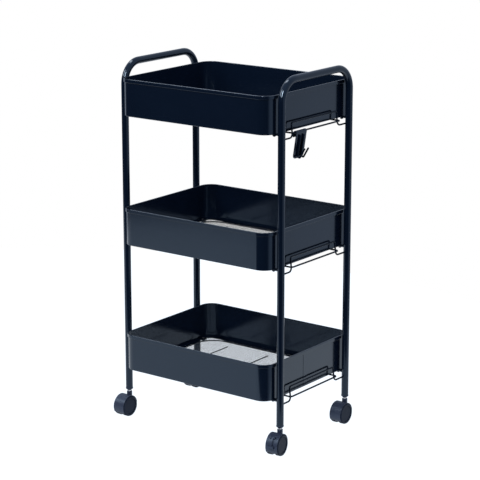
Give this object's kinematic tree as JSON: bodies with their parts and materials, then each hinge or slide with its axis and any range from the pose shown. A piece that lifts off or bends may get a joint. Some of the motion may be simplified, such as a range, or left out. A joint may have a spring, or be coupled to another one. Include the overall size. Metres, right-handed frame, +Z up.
{
  "type": "rolling pantry cart",
  "caption": "Narrow rolling cart of folded steel trays with mesh floors between two bent tube frames, on twin-wheel casters, with side bars and a strap hook.",
  "frame": {"origin": "on the floor, in the middle of the four legs", "axes": "+Z up; X along the long side, +X towards the end with the hanging bars; -Y towards the front long side"},
  "size_m": [0.49, 0.3528, 0.871],
  "materials": {
    "navy_powder_coat": "satin powder coat",
    "dark_wire": "satin powder coat on steel wire",
    "black_plastic": "fine texture",
    "caster_tread": "moulded, slightly worn",
    "bright_steel": "zinc plated, bright"
  },
  "bodies": {
    "root": {"side_frame_left": "navy_powder_coat", "side_frame_right": "navy_powder_coat", "leg_plug_front_left": "black_plastic", "caster_stem_front_left": "bright_steel", "leg_plug_front_right": "black_plastic", "caster_stem_front_right": "bright_steel", "leg_plug_back_left": "black_plastic", "caster_stem_back_left": "bright_steel", "leg_plug_back_right": "black_plastic", "caster_stem_back_right": "bright_steel", "side_rail_bottom": "dark_wire", "tray_pan_bottom": "navy_powder_coat", "tray_mesh_bottom": "dark_wire", "mesh_frame_bottom": "dark_wire", "hanging_bar_bottom": "dark_wire", "tray_brackets_bottom": "navy_powder_coat", "tray_screws_bottom": "bright_steel", "tray_nuts_bottom": "bright_steel", "side_rail_middle": "dark_wire", "tray_pan_middle": "navy_powder_coat", "tray_mesh_middle": "dark_wire", "mesh_frame_middle": "dark_wire", "hanging_bar_middle": "dark_wire", "tray_brackets_middle": "navy_powder_coat", "tray_screws_middle": "bright_steel", "tray_nuts_middle": "bright_steel", "side_rail_top": "dark_wire", "tray_pan_top": "navy_powder_coat", "tray_mesh_top": "dark_wire", "mesh_frame_top": "dark_wire", "hanging_bar_top": "dark_wire", "tray_brackets_top": "navy_powder_coat", "tray_screws_top": "bright_steel", "tray_nuts_top": "bright_steel"},
    "caster_front_left": {"caster_housing_front_left": "black_plastic", "caster_axle_front_left": "bright_steel"},
    "wheel_front_left_left": {"caster_wheel_front_left_left": "caster_tread"},
    "wheel_front_left_right": {"caster_wheel_front_left_right": "caster_tread"},
    "caster_front_right": {"caster_housing_front_right": "black_plastic", "caster_axle_front_right": "bright_steel"},
    "wheel_front_right_left": {"caster_wheel_front_right_left": "caster_tread"},
    "wheel_front_right_right": {"caster_wheel_front_right_right": "caster_tread"},
    "brake_front_right": {"brake_lever_front_right": "black_plastic"},
    "caster_back_left": {"caster_housing_back_left": "black_plastic", "caster_axle_back_left": "bright_steel"},
    "wheel_back_left_left": {"caster_wheel_back_left_left": "caster_tread"},
    "wheel_back_left_right": {"caster_wheel_back_left_right": "caster_tread"},
    "brake_back_left": {"brake_lever_back_left": "black_plastic"},
    "caster_back_right": {"caster_housing_back_right": "black_plastic", "caster_axle_back_right": "bright_steel"},
    "wheel_back_right_left": {"caster_wheel_back_right_left": "caster_tread"},
    "wheel_back_right_right": {"caster_wheel_back_right_right": "caster_tread"},
    "hook": {"hook_strap": "navy_powder_coat", "hook_prongs": "navy_powder_coat"}
  },
  "joints": [
    {"name": "swivel_front_left", "type": "hinge", "parent": "root", "child": "caster_front_left", "pos_m": [-0.2255, -0.134, 0.05], "axis": [0, 0, 1], "continuous": true},
    {"name": "spin_front_left_left", "type": "hinge", "parent": "caster_front_left", "child": "wheel_front_left_left", "pos_m": [-0.2255, -0.15, 0.025], "axis": [1, 0, 0], "continuous": true},
    {"name": "spin_front_left_right", "type": "hinge", "parent": "caster_front_left", "child": "wheel_front_left_right", "pos_m": [-0.2255, -0.15, 0.025], "axis": [1, 0, 0], "continuous": true},
    {"name": "swivel_front_right", "type": "hinge", "parent": "root", "child": "caster_front_right", "pos_m": [0.2255, -0.134, 0.05], "axis": [0, 0, 1], "continuous": true},
    {"name": "spin_front_right_left", "type": "hinge", "parent": "caster_front_right", "child": "wheel_front_right_left", "pos_m": [0.22745, -0.14988, 0.025], "axis": [0.9925, 0.1219, 0], "continuous": true},
    {"name": "spin_front_right_right", "type": "hinge", "parent": "caster_front_right", "child": "wheel_front_right_right", "pos_m": [0.22745, -0.14988, 0.025], "axis": [0.9925, 0.1219, 0], "continuous": true},
    {"name": "brake_front_right", "type": "hinge", "parent": "caster_front_right", "child": "brake_front_right", "pos_m": [0.22964, -0.16774, 0.04645], "axis": [-0.9925, -0.1219, 0], "range_deg": [0, 25]},
    {"name": "swivel_back_left", "type": "hinge", "parent": "root", "child": "caster_back_left", "pos_m": [-0.2255, 0.134, 0.05], "axis": [0, 0, 1], "continuous": true},
    {"name": "spin_back_left_left", "type": "hinge", "parent": "caster_back_left", "child": "wheel_back_left_left", "pos_m": [-0.2255, 0.118, 0.025], "axis": [1, 0, 0], "continuous": true},
    {"name": "spin_back_left_right", "type": "hinge", "parent": "caster_back_left", "child": "wheel_back_left_right", "pos_m": [-0.2255, 0.118, 0.025], "axis": [1, 0, 0], "continuous": true},
    {"name": "brake_back_left", "type": "hinge", "parent": "caster_back_left", "child": "brake_back_left", "pos_m": [-0.2255, 0.1, 0.04645], "axis": [-1, 0, 0], "range_deg": [0, 25]},
    {"name": "swivel_back_right", "type": "hinge", "parent": "root", "child": "caster_back_right", "pos_m": [0.2255, 0.134, 0.05], "axis": [0, 0, 1], "continuous": true},
    {"name": "spin_back_right_left", "type": "hinge", "parent": "caster_back_right", "child": "wheel_back_right_left", "pos_m": [0.2255, 0.118, 0.025], "axis": [1, 0, 0], "continuous": true},
    {"name": "spin_back_right_right", "type": "hinge", "parent": "caster_back_right", "child": "wheel_back_right_right", "pos_m": [0.2255, 0.118, 0.025], "axis": [1, 0, 0], "continuous": true},
    {"name": "hook_swing", "type": "hinge", "parent": "root", "child": "hook", "pos_m": [0.228, -0.0665, 0.742], "axis": [0, -1, 0], "range_deg": [-25, 70]}
  ]
}
